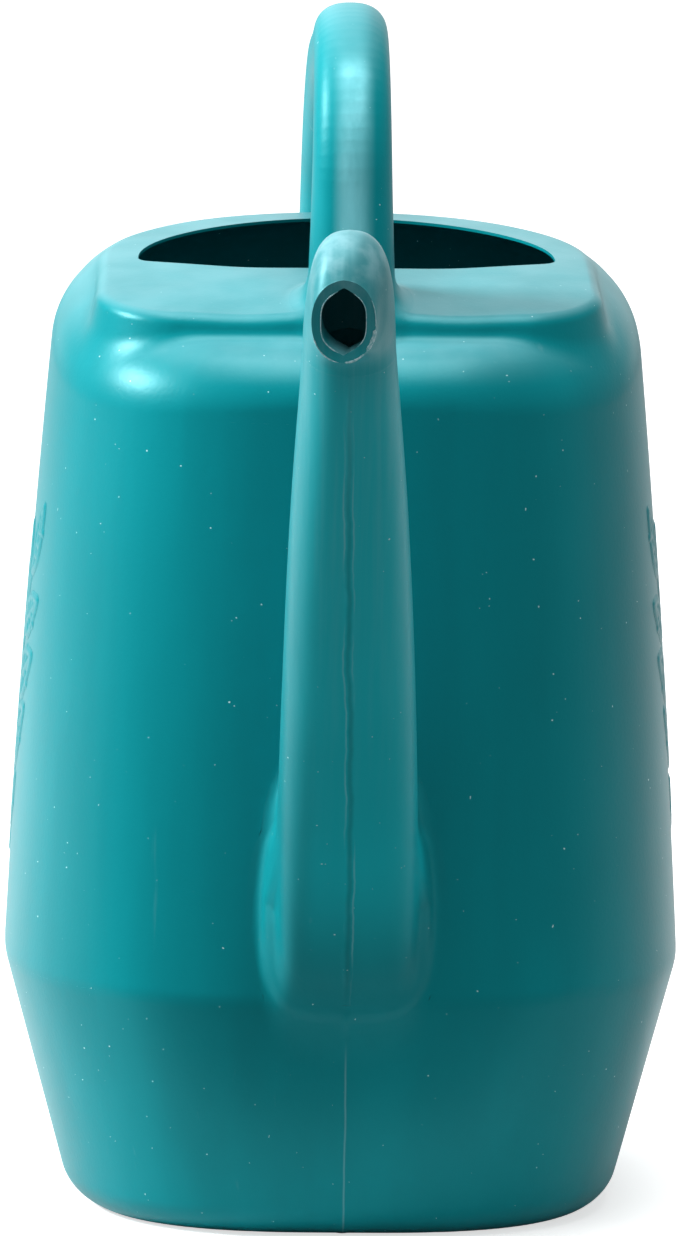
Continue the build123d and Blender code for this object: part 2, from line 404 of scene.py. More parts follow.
COLLAR_FILLET, FAIRING_FILLET, SPOUT_FILLET = 2.8 * MM, 2.5 * MM, 6 * MM
FRONT_LEG_FILLET, REAR_LEG_FILLET = 8 * MM, 10 * MM
# a field is only worked out this close to its own nodes
REACH = 22 * MM


def skin_field(x, y, z, fine=True):
    """The whole outer surface: below zero inside the can."""
    body = tank_field(x, y, z)
    high = z > 255 * MM
    collar = within(collar_field, high, x, y, z)
    body = soft_min(body, collar, COLLAR_FILLET)
    spout_mask = (np.abs(x) < 50 * MM) & (near(y, z, spout_lo, spout_hi) | near(y, z, nose_lo, nose_hi))
    tube = within(lambda *p: spout_field(*p, fine), spout_mask, x, y, z)
    fairing = within(fairing_field, spout_mask & (z < 175 * MM), x, y, z)
    body = soft_min(soft_min(body, fairing, FAIRING_FILLET), tube, SPOUT_FILLET)
    handle_mask = (np.abs(x) < 40 * MM) & (
        near(y, z, leg_lo, grip_hi) | near(y, z, grip_lo, grip_hi) | near(y, z, rear_lo, rear_hi)
    )
    loop = within(handle_field, handle_mask, x, y, z)
    return soft_min(body, loop, np.where(y < 0, FRONT_LEG_FILLET, REAR_LEG_FILLET))


def parted_field(x, y, z):
    """The skin with its parting line on the foot as well."""
    return skin_field(x, y, z) - 0.6 * parting_ridge(x, z) * (y < -60 * MM)


def plain_field(x, y, z):
    """The skin without its parting line."""
    return skin_field(x, y, z, fine=False)


# ---------------------------------------------------------------- meshing
def gradient(field, p):
    """Unit outward normals, and the field's slope, at points."""
    e = 0.15 * MM
    parts = []
    for axis in range(3):
        step = np.zeros(3)
        step[axis] = e
        a = p + step
        b = p - step
        parts.append((field(a[:, 0], a[:, 1], a[:, 2]) - field(b[:, 0], b[:, 1], b[:, 2])) / (2 * e))
    g = np.stack(parts, axis=1)
    size = np.maximum(np.linalg.norm(g, axis=1, keepdims=True), 1e-6)
    return g / size, size


def settle(field, p, rounds=2, limit=1.5 * MM):
    """Points moved along the normal onto the surface."""
    for _ in range(rounds):
        n, size = gradient(field, p)
        move = field(p[:, 0], p[:, 1], p[:, 2])[:, None] / size
        p = p - n * np.clip(move, -limit, limit)
    return p


EDGES = [((0, 0, 0), (1, 0, 0)), ((0, 1, 0), (1, 1, 0)), ((0, 0, 1), (1, 0, 1)), ((0, 1, 1), (1, 1, 1)),
         ((0, 0, 0), (0, 1, 0)), ((1, 0, 0), (1, 1, 0)), ((0, 0, 1), (0, 1, 1)), ((1, 0, 1), (1, 1, 1)),
         ((0, 0, 0), (0, 0, 1)), ((1, 0, 0), (1, 0, 1)), ((0, 1, 0), (0, 1, 1)), ((1, 1, 0), (1, 1, 1))]


def surface_net(field, lo, hi, cell):
    """A regular quad mesh of the field's zero level inside a box, as vertices and quads."""
    lo = np.array(lo, float) - cell * 1.5
    hi = np.array(hi, float) + cell * 1.5
    counts = np.ceil((hi - lo) / cell).astype(int) + 1
    axes = [lo[i] + cell * np.arange(counts[i]) for i in range(3)]
    gx, gy, gz = np.meshgrid(*axes, indexing="ij")
    values = field(gx.ravel(), gy.ravel(), gz.ravel()).reshape(gx.shape)
    inside = values < 0
    c = counts - 1
    total = np.zeros(c, int)
    sums = np.zeros((*c, 3))
    hits = np.zeros(c)
    for a, b in EDGES:
        va = values[a[0]:a[0] + c[0], a[1]:a[1] + c[1], a[2]:a[2] + c[2]]
        vb = values[b[0]:b[0] + c[0], b[1]:b[1] + c[1], b[2]:b[2] + c[2]]
        cross = (va < 0) != (vb < 0)
        t = np.where(cross, va / np.where(cross, va - vb, 1), 0)
        for axis in range(3):
            sums[..., axis] += np.where(cross, a[axis] + t * (b[axis] - a[axis]), 0)
        hits += cross
    active = hits > 0
    total[active] = np.arange(active.sum())
    index = np.argwhere(active)
    verts = lo + (index + sums[active] / hits[active][:, None]) * cell
    quads = []
    for axis in range(3):
        u, v = [a for a in range(3) if a != axis]
        head = [slice(0, None)] * 3
        tail = [slice(0, None)] * 3
        head[axis] = slice(0, -1)
        tail[axis] = slice(1, None)
        change = inside[tuple(head)] != inside[tuple(tail)]
        at = np.argwhere(change)
        keep = (at[:, u] > 0) & (at[:, v] > 0) & (at[:, u] < counts[u] - 1) & (at[:, v] < counts[v] - 1)
        at = at[keep]
        corners = []
        for du, dv in ((-1, -1), (0, -1), (0, 0), (-1, 0)):
            cell_at = at.copy()
            cell_at[:, u] += du
            cell_at[:, v] += dv
            corners.append(total[cell_at[:, 0], cell_at[:, 1], cell_at[:, 2]])
        face = np.stack(corners, axis=1)
        solid_first = inside[at[:, 0], at[:, 1], at[:, 2]]
        flip = solid_first if axis == 1 else ~solid_first
        face[flip] = face[flip][:, ::-1]
        quads.append(face)
    return verts, np.concatenate(quads)


def relax(field, verts, quads, rounds):
    """Evens the mesh along the surface without leaving it."""
    pairs = np.concatenate([quads[:, [i, (i + 1) % 4]] for i in range(4)])
    pairs = np.concatenate([pairs, pairs[:, ::-1]])
    count = np.maximum(np.bincount(pairs[:, 0], minlength=len(verts)), 1)[:, None]
    for _ in range(rounds):
        mean = np.stack(
            [np.bincount(pairs[:, 0], verts[pairs[:, 1], i], minlength=len(verts)) for i in range(3)], axis=1
        ) / count
        verts = settle(field, verts * 0.4 + mean * 0.6, 1)
    return verts


def clip(verts, tris, keep):
    """The part of a triangle mesh where keep(points) is above zero, with a clean edge."""
    level = keep(verts)
    level = np.where(np.abs(level) < 1e-7, 1e-7, level)
    good = level > 0
    state = good[tris]
    number = state.sum(axis=1)
    kept = [tris[number == 3]]
    cut_pairs = []
    pieces = []
    for want in (1, 2):
        t = tris[number == want]
        s = state[number == want]
        if not len(t):
            continue
        lone = np.argmax(s, axis=1) if want == 1 else np.argmin(s, axis=1)
        rows = np.arange(len(t))
        a = t[rows, lone]
        b = t[rows, (lone + 1) % 3]
        c = t[rows, (lone + 2) % 3]
        pieces.append((want, a, b, c))
        cut_pairs.append(np.stack([a, b], axis=1))
        cut_pairs.append(np.stack([a, c], axis=1))
    if cut_pairs:
        pairs = np.sort(np.concatenate(cut_pairs), axis=1)
        unique, back = np.unique(pairs, axis=0, return_inverse=True)
        back = back.ravel()
        la, lb = level[unique[:, 0]], level[unique[:, 1]]
        t = (la / (la - lb))[:, None]
        fresh = verts[unique[:, 0]] * (1 - t) + verts[unique[:, 1]] * t
        start = len(verts)
        verts = np.concatenate([verts, fresh])
        used = 0
        for want, a, b, c in pieces:
            ab = start + back[used:used + len(a)]
            ac = start + back[used + len(a):used + 2 * len(a)]
            used += 2 * len(a)
            if want == 1:
                kept.append(np.stack([a, ab, ac], axis=1))
            else:
                kept.append(np.stack([ab, b, c], axis=1))
                kept.append(np.stack([ab, c, ac], axis=1))
    tris = np.concatenate(kept)
    used_verts, inverse = np.unique(tris, return_inverse=True)
    return verts[used_verts], inverse.reshape(-1, 3)


def weld(verts, tris, gap):
    """Joins vertices closer than the gap, and drops faces that fall to nothing."""
    key = np.round(verts / gap).astype(np.int64)
    _, first, back = np.unique(key, axis=0, return_index=True, return_inverse=True)
    tris = back.ravel()[tris]
    flat = (tris[:, 0] == tris[:, 1]) | (tris[:, 1] == tris[:, 2]) | (tris[:, 0] == tris[:, 2])
    return verts[first], tris[~flat]


# ---------------------------------------------------------------- building the pieces
def normals_of(field, p):
    return gradient(field, p)[0]


def face_normals(verts, faces):
    a, b, c = (verts[faces[:, i]] for i in range(3))
    n = np.cross(b - a, c - a)
    return n / np.maximum(np.linalg.norm(n, axis=1, keepdims=True), 1e-12)


def biggest_parts(verts, tris, least):
    """Only the connected patches with at least this many faces."""
    label = np.arange(len(verts))
    while True:
        low = label[tris].min(axis=1)
        fresh = label.copy()
        for i in range(3):
            np.minimum.at(fresh, tris[:, i], low)
        fresh = fresh[fresh]
        if (fresh == label).all():
            break
        label = fresh
    tags = label[tris[:, 0]]
    names, counts = np.unique(tags, return_counts=True)
    good = np.isin(tags, names[counts >= least])
    used, inverse = np.unique(tris[good], return_inverse=True)
    return verts[used], inverse.reshape(-1, 3)


LEAST_PATCH = 400


def skin_piece(name, node, slot, lo, hi, cell, keeps, inner=None, field=skin_field):
    """A closed shell: the skin inside a box, trimmed by the keep functions, with its inner face."""
    verts, quads = surface_net(field, lo, hi, cell)
    verts = relax(field, verts, quads, 2)
    verts = settle(field, verts, 2)
    tris = np.concatenate([quads[:, [0, 1, 2]], quads[:, [0, 2, 3]]])
    for keep in keeps:
        verts, tris = clip(verts, tris, keep)
    verts, tris = weld(verts, tris, 0.02 * MM)
    verts, tris = biggest_parts(verts, tris, LEAST_PATCH)
    outward = normals_of(field, verts)
    if inner is None:
        inside = verts - normals_of(plain_field, verts) * WALL
    else:
        inside = inner(verts)
    return shell_object(name, node, verts, inside, tris, outward)


def shell_object(name, node, verts, inside, tris, outward):
    count = len(verts)
    edges = np.concatenate([tris[:, [0, 1]], tris[:, [1, 2]], tris[:, [2, 0]]])
    key = edges[:, 0].astype(np.int64) * count + edges[:, 1]
    twin = edges[:, 1].astype(np.int64) * count + edges[:, 0]
    open_edges = edges[~np.isin(key, twin)]
    a, b = open_edges[:, 0], open_edges[:, 1]
    rims = np.concatenate([np.stack([b, a, a + count], axis=1), np.stack([b, a + count, b + count], axis=1)])
    points = np.concatenate([verts, inside])
    rim_normals = face_normals(points, rims)
    half = len(a)
    rim_normals = np.concatenate([rim_normals[:half], rim_normals[:half]])
    faces = np.concatenate([tris, tris[:, ::-1] + count, rims])
    corner = np.concatenate([outward[tris].reshape(-1, 3), -outward[tris[:, ::-1]].reshape(-1, 3),
                             np.repeat(rim_normals, 3, axis=0)])
    return mesh_object(name, node, points, faces, corner)


def mesh_object(name, node, points, faces, corner):
    mesh = bpy.data.meshes.new(name)
    mesh.vertices.add(len(points))
    mesh.vertices.foreach_set("co", points.astype(np.float32).ravel())
    mesh.loops.add(faces.size)
    mesh.loops.foreach_set("vertex_index", faces.astype(np.int32).ravel())
    mesh.polygons.add(len(faces))
    mesh.polygons.foreach_set("loop_start", (np.arange(len(faces)) * 3).astype(np.int32))
    mesh.update(calc_edges=True)
    mesh.validate()
    mesh.polygons.foreach_set("use_smooth", np.ones(len(mesh.polygons), bool))
    if len(mesh.polygons) == len(faces):
        mesh.normals_split_custom_set(corner.tolist())
    piece = bpy.data.objects.new(name, mesh)
    bpy.context.scene.collection.objects.link(piece)
    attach(piece, "root")
    if node:
        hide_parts(node)
    print("piece", name, len(faces), "faces")
    return piece


# ---------------------------------------------------------------- where each piece ends
def above(level):
    return lambda p: p[:, 2] - level


def below(level):
    return lambda p: level - p[:, 2]


def spout_reach(p):
    """Below zero on the spout, its fairing and the fillets round them."""
    x, y, z = p.T
    tube = spout_field(x, y, z, False)
    fairing = fairing_field(x, y, z)
    reach = np.minimum(tube - 5 * MM, fairing - 4 * MM)
    return np.where(y < -60 * MM, reach, 0.05)


def handle_reach(p):
    return handle_field(*p.T) - 5.5 * MM


def collar_reach(p):
    return collar_outline(p[:, 0], p[:, 1]) - 3 * MM


def flipped(keep):
    return lambda p: -keep(p)


def round_mouth(p):
    return mouth_gap(p[:, 0], p[:, 1])


def collar_inner(p):
    """The inner face of the collar, thinning towards the edge of the mouth."""
    wall = LIP_WALL + (WALL - LIP_WALL) * np.clip(round_mouth(p) / (9 * MM), 0, 1)
    return p - normals_of(plain_field, p) * wall[:, None]


def bore_reach(c, s):
    """Reach of the bore's outline in a direction: straight sides, a point above and below."""
    low, high = np.zeros(c.shape), np.full(c.shape, BORE_D)
    for _ in range(24):
        r = 0.5 * (low + high)
        outside = c * r > BORE_W * (1 - (s * r / BORE_D) ** BORE_POWER)
        high = np.where(outside, r, high)
        low = np.where(outside, low, r)
    return 0.5 * (low + high)


def nose_inner(p):
    """The bore of the nose: its outline at the mouth, scaled with the outside further in."""
    fan, out = nose_coordinates(p[:, 1], p[:, 2])
    middle, half_w, half_d, power = nose_size(fan)
    mouth_w, mouth_d, mouth_power = NOSE_SIZES[-1, 2:]
    lean = nose_lean(fan)
    u, v = (p[:, 0] - lean) / half_w * mouth_w, (out - middle) / half_d * mouth_d
    reach = np.maximum(np.hypot(u, v), 1e-6)
    c, s = np.abs(u / reach), np.abs(v / reach)
    outer = ((c / mouth_w) ** mouth_power + (s / mouth_d) ** mouth_power) ** (-1 / mouth_power)
    keep = bore_reach(c, s) / outer
    turn = np.radians(fan)
    new_out = middle + (out - middle) * keep
    return np.stack([lean + (p[:, 0] - lean) * keep, HINGE_Y + new_out * np.cos(turn),
                     HINGE_Z + new_out * np.sin(turn)], axis=1)


def grown(lo, hi, by):
    return np.array(lo) - by, np.array(hi) + by


# length of one degree round the hinge, at the nose's distance
PER_DEGREE = 0.4 * MM


def fan_before(limit):
    return lambda p: (limit - nose_coordinates(p[:, 1], p[:, 2])[0]) * PER_DEGREE


def past_neck(p):
    return spout_coordinates(p[:, 1], p[:, 2])[0] - NECK


coarse = 1.0

COLLAR_BELOW, COLLAR_ABOVE = 262 * MM, 300 * MM


def over_legs(p):
    """Above the tops of the front and rear legs."""
    return p[:, 2] - np.where(p[:, 1] < 30 * MM, leg_hi[2], rear_hi[2])


def behind_mouth(p):
    return p[:, 1] - 60 * MM


base = skin_piece(
    "tank_base_skin", "tank_base", "body_plastic", *grown(base_lo, base_hi, 3 * MM), 1.8 * MM * coarse,
    [below(KNEE_Z)], field=parted_field)
wall = skin_piece(
    "tank_wall_skin", "tank_wall", "body_plastic", *grown(wall_lo, wall_hi, 3 * MM), 1.9 * MM * coarse,
    [above(KNEE_Z), below(SEAM_Z), spout_reach, handle_reach])
shoulder = skin_piece(
    "tank_shoulder_skin", "tank_shoulder", "body_plastic", *grown(shoulder_lo, shoulder_hi, 3 * MM),
    1.5 * MM * coarse, [above(SEAM_Z), collar_reach, handle_reach])
collar = skin_piece(
    "filler_collar_skin", "filler_collar", "body_plastic", *grown(collar_lo, collar_hi, 14 * MM),
    1.15 * MM * coarse,
    [flipped(collar_reach), above(COLLAR_BELOW), below(COLLAR_ABOVE), round_mouth, handle_reach],
    collar_inner)
spout = skin_piece(
    "spout_skin", "spout", "spout_plastic", *grown(spout_lo, spout_hi, 12 * MM), 1.0 * MM * coarse,
    [above(KNEE_Z), flipped(spout_reach), flipped(past_neck)])
nose = skin_piece(
    "spout_nose_skin", "spout_nose", "spout_plastic", *grown(nose_lo, nose_hi, 4 * MM), 0.6 * MM * coarse,
    [past_neck, fan_before(MOUTH_FAN)], nose_inner)
leg = skin_piece(
    "handle_front_leg_skin", "handle_front_leg", "handle_plastic", *grown(leg_lo, leg_hi, 12 * MM),
    1.2 * MM * coarse, [flipped(handle_reach), above(COLLAR_BELOW), below(leg_hi[2])])
grip = skin_piece(
    "handle_grip_skin", "handle_grip", "handle_plastic", *grown(grip_lo, grip_hi, 5 * MM), 1.2 * MM * coarse,
    [over_legs])
rear = skin_piece(
    "handle_rear_leg_skin", "handle_rear_leg", "handle_plastic", *grown(rear_lo, rear_hi, 8 * MM),
    1.3 * MM * coarse, [flipped(handle_reach), below(rear_hi[2]), behind_mouth])


# ---------------------------------------------------------------- relief on both sides: a plain sprig
RELIEF_LOW = np.array([-70.0, 92.0])
RELIEF_STEP = 0.5
RELIEF_SHAPE = (280, 270)
RELIEF_HEIGHT = 0.5 * MM
# share of the stem, turn from the stem in degrees, length, half width, mm
LEAVES = [
    (0.10, -58, 30, 6.5), (0.16, 50, 27, 6.0), (0.32, -52, 40, 8.0), (0.40, 48, 34, 7.0),
    (0.56, -50, 38, 7.5), (0.63, 46, 32, 6.5), (0.78, -44, 30, 6.0), (0.84, 42, 26, 5.5),
    (0.98, -6, 26, 5.5),
]


def stem_point(t):
    return np.array([14 - 34 * t * t, 102 + 92 * t])


def sprig_strokes():
    """Points along the stem, and along each leaf's outline, rib and veins, in mm on the YZ plane."""
    strokes = [np.array([stem_point(t) for t in np.linspace(0, 1, 160)])]
    for share, turn, length, half in LEAVES:
        base = stem_point(share)
        heading = math.atan2(*(stem_point(min(1, share + 0.02)) - stem_point(share - 0.02))[::-1])
        angle = heading - math.radians(turn)
        forward = np.array([math.cos(angle), math.sin(angle)])
        aside = np.array([-forward[1], forward[0]])
        t = np.linspace(0, 1, int(length * 2))[:, None]
        swell = half * np.sin(np.pi * t) ** 0.8 * (1 - 0.25 * t)
        droop = aside * (t ** 2) * 3 * (1 if turn > 0 else -1)
        rib = base + forward * t * length + droop
        strokes += [rib, rib + aside * swell, rib - aside * swell]
        for at in (0.28, 0.46, 0.64):
            row = int(at * len(rib))
            for hand in (-1, 1):
                reach = np.linspace(0, 0.8, 14)[:, None]
                strokes.append(rib[row] + (aside * hand * half * 0.9 + forward * half * 0.8) * reach)
    return np.concatenate(strokes)


def relief_map():
    """Height of the relief over a plain grid of the YZ plane."""
    gy = RELIEF_LOW[0] + RELIEF_STEP * np.arange(RELIEF_SHAPE[0])
    gz = RELIEF_LOW[1] + RELIEF_STEP * np.arange(RELIEF_SHAPE[1])
    grid = np.full(RELIEF_SHAPE, 9.0)
    for y, z in sprig_strokes():
        i, j = int((y - RELIEF_LOW[0]) / RELIEF_STEP), int((z - RELIEF_LOW[1]) / RELIEF_STEP)
        rows, columns = slice(max(0, i - 6), i + 8), slice(max(0, j - 6), j + 8)
        gap = np.hypot(gy[rows, None] - y, gz[None, columns] - z)
        grid[rows, columns] = np.minimum(grid[rows, columns], gap)
    return RELIEF_HEIGHT * np.clip(1 - (grid / 1.6) ** 2, 0, 1)


RELIEF = relief_map()


def relief_at(y, z):
    fy = np.clip((y / MM - RELIEF_LOW[0]) / RELIEF_STEP, 0, RELIEF_SHAPE[0] - 1.001)
    fz = np.clip((z / MM - RELIEF_LOW[1]) / RELIEF_STEP, 0, RELIEF_SHAPE[1] - 1.001)
    i, j = fy.astype(int), fz.astype(int)
    u, v = fy - i, fz - j
    return (RELIEF[i, j] * (1 - u) * (1 - v) + RELIEF[i + 1, j] * u * (1 - v)
            + RELIEF[i, j + 1] * (1 - u) * v + RELIEF[i + 1, j + 1] * u * v)


def relief_field(x, y, z):
    return tank_field(x, y, z) - relief_at(y, z)


def raised(p):
    return relief_at(p[:, 1], p[:, 2]) - 0.05 * MM


def under_relief(p):
    depth = relief_at(p[:, 1], p[:, 2]) + 0.8 * MM
    return p - normals_of(tank_field, p) * depth[:, None]


SPRIG_X, SPRIG_Y, SPRIG_Z = (80 * MM, 104 * MM), (-56 * MM, 50 * MM), (100 * MM, 222 * MM)
sprigs = []
for side, name in ((-1, "sprig_left"), (1, "sprig_right")):
    near_x, far_x = sorted(side * x for x in SPRIG_X)
    sprigs.append(skin_piece(
        name, None, "body_plastic", (near_x, SPRIG_Y[0], SPRIG_Z[0]), (far_x, SPRIG_Y[1], SPRIG_Z[1]),
        0.8 * MM * coarse, [raised], under_relief, relief_field))


# ---------------------------------------------------------------- pale burr at the spout's sawn mouth
def bead(name, points, radii, around=6):
    """A thin closed tube through points, with a radius at each."""
    ahead = np.gradient(points, axis=0)
    ahead /= np.linalg.norm(ahead, axis=1, keepdims=True)
    first = np.cross(ahead, [0.0, 0.97, 0.24])
    first /= np.linalg.norm(first, axis=1, keepdims=True)
    second = np.cross(ahead, first)
    turns = np.linspace(0, 2 * math.pi, around, endpoint=False)
    rings = first[:, None] * np.cos(turns)[None, :, None] + second[:, None] * np.sin(turns)[None, :, None]
    verts = (points[:, None] + rings * radii[:, None, None]).reshape(-1, 3)
    verts = np.concatenate([verts, points[:1], points[-1:]])
    normals = np.concatenate([rings.reshape(-1, 3), -ahead[:1], ahead[-1:]])
    faces = []
    last = len(points) - 1
    for i in range(last):
        for k in range(around):
            a, b = i * around + k, i * around + (k + 1) % around
            c, d = b + around, a + around
            faces += [(a, b, c), (a, c, d)]
    for k in range(around):
        faces.append((len(verts) - 2, (k + 1) % around, k))
        faces.append((len(verts) - 1, last * around + k, last * around + (k + 1) % around))
    faces = np.array(faces)
    return mesh_object(name, None, verts, faces, normals[faces].reshape(-1, 3))


def mouth_rim(turns, inner):
    """Points on the mouth's cut face: on the bore's edge, or on the outer edge."""
    middle, half_w, half_d, power = NOSE_SIZES[-1, 1:]
    c, s = np.abs(np.cos(turns)), np.abs(np.sin(turns))
    reach = bore_reach(c, s) if inner else ((c / half_w) ** power + (s / half_d) ** power) ** (-1 / power)
    out = middle + reach * np.sin(turns)
    fan = math.radians(MOUTH_FAN + 0.3)
    return np.stack([NOSE_LEAN[-1, 1] + reach * np.cos(turns), HINGE_Y + out * math.cos(fan),
                     HINGE_Z + out * math.sin(fan)], axis=1)


def ragged(count, low, high):
    """Radii that wander, thin at both ends."""
    wander = np.convolve(rng.uniform(low, high, count + 6), np.ones(7) / 7, "valid")
    return wander * MM * np.clip(np.sin(np.linspace(0.02, math.pi - 0.02, count)) * 4, 0.15, 1)


# start and end in degrees, on the bore's edge or not, least and greatest radius in mm
BURRS = [(100, 262, True, 0.10, 0.26), (-62, 74, True, 0.08, 0.22), (-150, -96, False, 0.08, 0.28),
         (-88, -58, False, 0.15, 0.50), (-52, -14, False, 0.30, 0.75), (-8, 40, False, 0.05, 0.20)]
burrs = []
for number, (start, end, inner, low, high) in enumerate(BURRS):
    turns = np.radians(np.linspace(start, end, 60))
    burrs.append(bead(f"mouth_burr_{number}", mouth_rim(turns, inner), ragged(60, low, high)))


# ---------------------------------------------------------------- materials
class Graph:
    """Short ways to add the nodes of one material."""

    def __init__(self, material):
        material.use_nodes = True
        self.nodes, self.links = material.node_tree.nodes, material.node_tree.links
        self.shader = self.nodes["Principled BSDF"]
        self.place = self.nodes.new("ShaderNodeTexCoord").outputs["Object"]

    def set(self, socket, value):
        if isinstance(value, bpy.types.NodeSocket):
            self.links.new(value, socket)
        else:
            socket.default_value = value

    def stretched(self, *scale):
        node = self.nodes.new("ShaderNodeMapping")
        node.inputs["Scale"].default_value = scale
        self.links.new(self.place, node.inputs["Vector"])
        return node.outputs["Vector"]

    def noise(self, scale, detail, place=None):
        node = self.nodes.new("ShaderNodeTexNoise")
        node.inputs["Scale"].default_value = scale
        node.inputs["Detail"].default_value = detail
        self.links.new(place or self.place, node.inputs["Vector"])
        return node.outputs["Fac"]

    def span(self, value, low, high, out_low=0.0, out_high=1.0):
        node = self.nodes.new("ShaderNodeMapRange")
        node.interpolation_type = "SMOOTHSTEP"
        for socket, number in (("Value", value), ("From Min", low), ("From Max", high),
                               ("To Min", out_low), ("To Max", out_high)):
            self.set(node.inputs[socket], number)
        return node.outputs["Result"]

    def math(self, kind, a, b=0.0):
        node = self.nodes.new("ShaderNodeMath")
        node.operation = kind
        self.set(node.inputs[0], a)
        self.set(node.inputs[1], b)
        return node.outputs["Value"]

    def product(self, first, *rest):
        for factor in rest:
            first = self.math("MULTIPLY", first, factor)
        return first

    def line_offset(self, pitch, detail, sway, lean=0.0):
        """Distance from a wandering upright line in the plane X = 0, or leaning from it."""
        wander = self.math("SUBTRACT", self.noise(pitch, detail, self.stretched(0.0, 0.0, 1.0)), 0.5)
        middle = self.math("ADD", self.axis("X"), lean)
        return self.math("ABSOLUTE", self.math("ADD", middle, self.math("MULTIPLY", wander, sway)))

    def axis(self, name):
        node = self.nodes.new("ShaderNodeSeparateXYZ")
        self.links.new(self.place, node.inputs["Vector"])
        return node.outputs[name]

    def blend(self, kind, factor, a, b):
        node = self.nodes.new("ShaderNodeMix")
        node.data_type = "RGBA"
        node.blend_type = kind
        for socket, value in zip((i for i in node.inputs if i.enabled), (factor, a, b)):
            self.set(socket, value)
        return next(o for o in node.outputs if o.enabled)

    def bump(self, height, strength, distance, under=None):
        node = self.nodes.new("ShaderNodeBump")
        node.inputs["Strength"].default_value = strength
        node.inputs["Distance"].default_value = distance
        self.links.new(height, node.inputs["Height"])
        if under:
            self.links.new(under, node.inputs["Normal"])
        return node.outputs["Normal"]


TEAL = (0.0, 0.235, 0.268)
# pale greyish teal: streaks, whitening and parting lines, and also the painted sheen on upward faces
CHALK_AND_SHEEN = (0.34, 0.60, 0.66, 1)
# pale teal for the painted reflection down the handle's front leg
HANDLE_REFLECTION_TINT = (0.26, 0.76, 0.84, 1)
SPECK = (0.55, 0.82, 0.85, 1)


def shade(factor):
    return tuple(c * factor for c in TEAL) + (1,)


def plastic(name, roughness, groove, lighter=None, tone=1.0, frost_and_reflection=None, frost_and_reflection_tint=CHALK_AND_SHEEN):
    """Pigmented polyethylene: grain, faint flow marks, a few specks, pale whitening where given, a painted
    sheen on upward faces, and painted light and a painted reflection where given.
    """
    material = bpy.data.materials.new(name)
    g = Graph(material)
    g.shader.inputs["Roughness"].default_value = roughness
    g.shader.inputs["IOR"].default_value = 1.37
    g.shader.inputs["Specular Tint"].default_value = (0.32, 0.90, 0.98, 1)
    upright = g.stretched(1.0, 1.0, 0.10)
    tint = g.blend("MIX", g.span(g.noise(40, 5, upright), 0.33, 0.70), shade(0.95), shade(1.06))
    # painted light: where given, part of the piece is made lighter than the tank
    if lighter:
        tint = g.blend("MIX", lighter(g), tint, shade(tone))
    clouds = g.blend("MIX", g.span(g.noise(8, 3), 0.35, 0.68), (0.95, 0.95, 0.95, 1), (1.05, 1.05, 1.05, 1))
    tint = g.blend("MULTIPLY", 1.0, tint, clouds)
    specks = g.span(g.noise(950, 0), 0.875, 0.890)
    tint = g.blend("MIX", specks, tint, SPECK)
    hair = g.span(g.noise(170, 7, g.stretched(1.0, 1.0, 0.03)), 0.70, 0.84, 0.0, 0.16)
    tint = g.blend("MIX", hair, tint, CHALK_AND_SHEEN)
    # painted sheen: faces turned upward are mixed, unevenly, towards a pale greyish teal, for the bright
    # surroundings they reflect
    upward = g.nodes.new("ShaderNodeSeparateXYZ")
    g.links.new(g.nodes.new("ShaderNodeNewGeometry").outputs["Normal"], upward.inputs["Vector"])
    painted_top_sheen = g.span(upward.outputs["Z"], 0.45, 0.98, 0.0, 0.24)
    uneven = g.span(g.noise(60, 5), 0.3, 0.7, 0.75, 1.2)
    tint = g.blend("MIX", g.product(painted_top_sheen, uneven), tint, CHALK_AND_SHEEN)
    # where given: pale whitening on the spout, and the painted reflection down the handle
    if frost_and_reflection:
        tint = g.blend("MIX", frost_and_reflection(g), tint, frost_and_reflection_tint)
    tint = groove(g, tint)
    g.links.new(tint, g.shader.inputs["Base Color"])
    waves = g.bump(g.noise(24, 2), 0.25, 0.0010)
    grain = g.bump(g.noise(800, 3), 0.20, 0.0002, waves)
    g.links.new(grain, g.shader.inputs["Normal"])
    return material


def painted_light_on_spout(g):
    """Painted light: the front and right of the spout between its root and its nose, made lighter than the
    tank.
    """
    return g.product(g.span(g.axis("Z"), 0.078, 0.125), g.span(g.axis("Z"), 0.310, 0.262),
                     g.span(g.axis("Y"), -0.104, -0.116), g.span(g.axis("X"), -0.020, -0.009))


def nose_frost(g):
    """Chalky streaks down the spout, thicker on top of the nose."""
    height = g.axis("Z")
    rise = g.span(height, 0.085, 0.30, 0.0, 0.09)
    cap = g.span(height, 0.298, 0.318, 0.0, 0.30)
    streaks = g.span(g.noise(420, 3, g.stretched(1.0, 0.05, 0.03)), 0.40, 0.75, 0.6, 1.6)
    patches = g.span(g.noise(160, 6), 0.38, 0.70, 0.4, 1.5)
    return g.math("ADD", g.product(rise, streaks), g.product(cap, patches))


def painted_light_on_handle(g):
    """Painted light: the handle away from its roots, made a little lighter than the tank."""
    return g.math("MAXIMUM", g.span(g.axis("Z"), 0.288, 0.312), g.span(g.axis("Y"), 0.103, 0.118))


def painted_reflection_on_handle(g):
    """Painted reflection: a paler band down the middle of the front leg, along the mould's parting line, for
    the bright surroundings mirrored in its flat front.
    """
    across = g.math("ABSOLUTE", g.math("SUBTRACT", g.axis("X"), 0.0006))
    band = g.span(across, 0.0015, 0.0070, 1.0, 0.0)
    front = g.span(g.axis("Y"), -0.046, -0.054)
    uneven = g.span(g.noise(140, 5, g.stretched(1.0, 1.0, 0.2)), 0.30, 0.72, 0.55, 0.92)
    return g.product(band, front, uneven)


